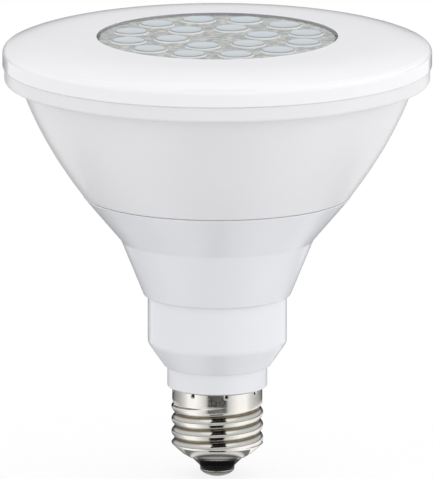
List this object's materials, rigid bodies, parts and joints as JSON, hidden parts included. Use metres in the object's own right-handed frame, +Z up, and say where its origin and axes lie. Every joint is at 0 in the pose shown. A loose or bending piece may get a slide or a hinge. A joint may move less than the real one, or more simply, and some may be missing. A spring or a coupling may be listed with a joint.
{
  "type": "reflector bulb",
  "caption": "Flanged reflector bulb: a conical head with a small multi-lens window in a wide bezel, a stepped neck and a standard Edison screw base.",
  "frame": {"origin": "tip of the centre contact, on the bulb's axis, where the bulb seats in its lamp holder", "axes": "+Z up the bulb's axis from the screw base to the front window, as in the picture; -Y towards the picture's viewer and +X to the viewer's right"},
  "size_m": [0.122, 0.122, 0.1276],
  "materials": {
    "white_bezel_plastic": "smooth semi-gloss",
    "clear_lens_plastic": "clear polished",
    "grey_silicone": "matte",
    "white_powder_coat": "white powder coat over cast metal",
    "white_housing_plastic": "fine satin",
    "nickel_shell": "bright nickel plate",
    "black_glass": "gloss black",
    "contact_metal": "tinned",
    "bare_aluminium": "pressed",
    "white_solder_mask": "satin",
    "yellow_phosphor": "satin",
    "zinc_steel": "zinc plate",
    "green_circuit_board": "satin",
    "grey_ferrite": "matte",
    "black_moulding": "matte",
    "yellow_tape": "satin",
    "black_sleeve": "satin",
    "blue_enamel": "satin",
    "red_wire": "satin",
    "black_wire": "satin",
    "white_wire": "satin"
  },
  "bodies": {
    "root": {"front_bezel": "white_bezel_plastic", "lens_array": "clear_lens_plastic", "front_gasket": "grey_silicone", "upper_housing": "white_powder_coat", "lower_housing": "white_housing_plastic", "driver_cup": "white_housing_plastic", "screw_shell": "nickel_shell", "base_insulator": "black_glass", "centre_contact": "contact_metal", "heat_spreader": "bare_aluminium", "led_board": "white_solder_mask", "led_emitters": "yellow_phosphor", "board_screws": "zinc_steel", "driver_board": "green_circuit_board", "transformer_core": "grey_ferrite", "transformer_bobbin": "black_moulding", "transformer_winding": "yellow_tape", "input_capacitor": "black_sleeve", "output_capacitor": "black_sleeve", "film_capacitor": "yellow_tape", "choke_coil": "grey_ferrite", "fuse_resistor": "blue_enamel", "bridge_rectifier": "black_moulding", "power_transistor": "black_moulding", "control_chip": "black_moulding", "positive_lead": "red_wire", "negative_lead": "black_wire", "live_lead": "black_wire", "neutral_lead": "white_wire"}
  },
  "joints": []
}
